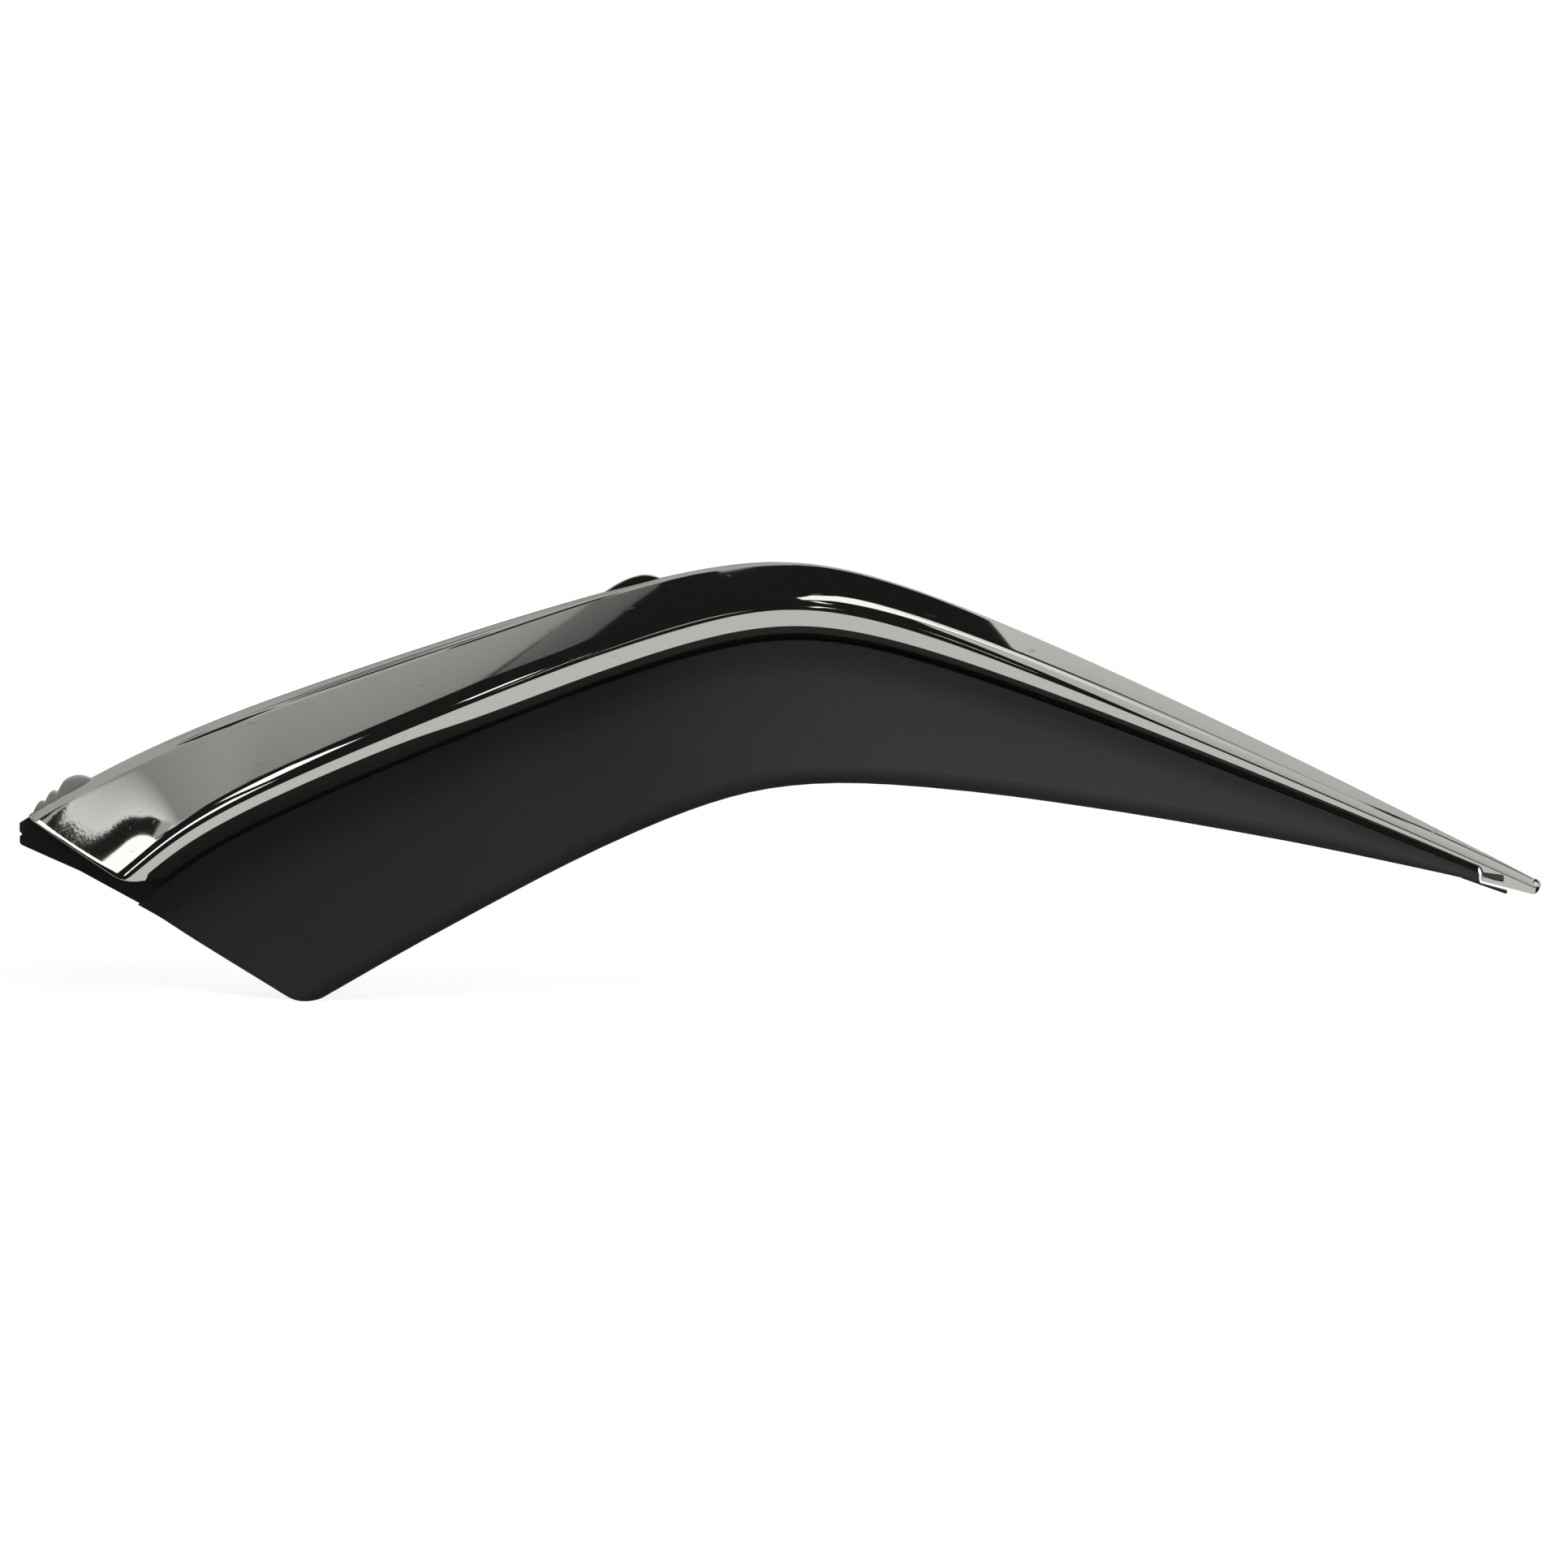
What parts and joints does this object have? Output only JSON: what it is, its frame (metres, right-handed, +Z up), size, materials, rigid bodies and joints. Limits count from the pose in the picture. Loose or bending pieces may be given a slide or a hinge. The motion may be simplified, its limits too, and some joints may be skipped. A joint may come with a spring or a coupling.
{
  "type": "bumper moulding",
  "caption": "Corner bumper moulding: a pointed chrome-plated blade with a sharp bend, screwed to a matt black lower panel with ribs, locating pegs and spring clips on its back",
  "frame": {"origin": "the root of the locating peg on the back, behind the bend, where the peg leaves its boss", "axes": "+X along the bumper towards the pointed tip, +Y into the vehicle along the pegs and clips, +Z up as fitted"},
  "size_m": [0.601, 0.0785, 0.168],
  "materials": {
    "chrome_plate": "bright mirror plating, slightly grained near the left end",
    "black_plastic": "fine matt moulded grain",
    "spring_steel": "plain rolled strip",
    "zinc_steel": "bright zinc"
  },
  "bodies": {
    "root": {"chrome_moulding": "chrome_plate", "base_panel": "black_plastic", "spring_clips": "spring_steel", "tapping_screws": "zinc_steel"}
  },
  "joints": []
}
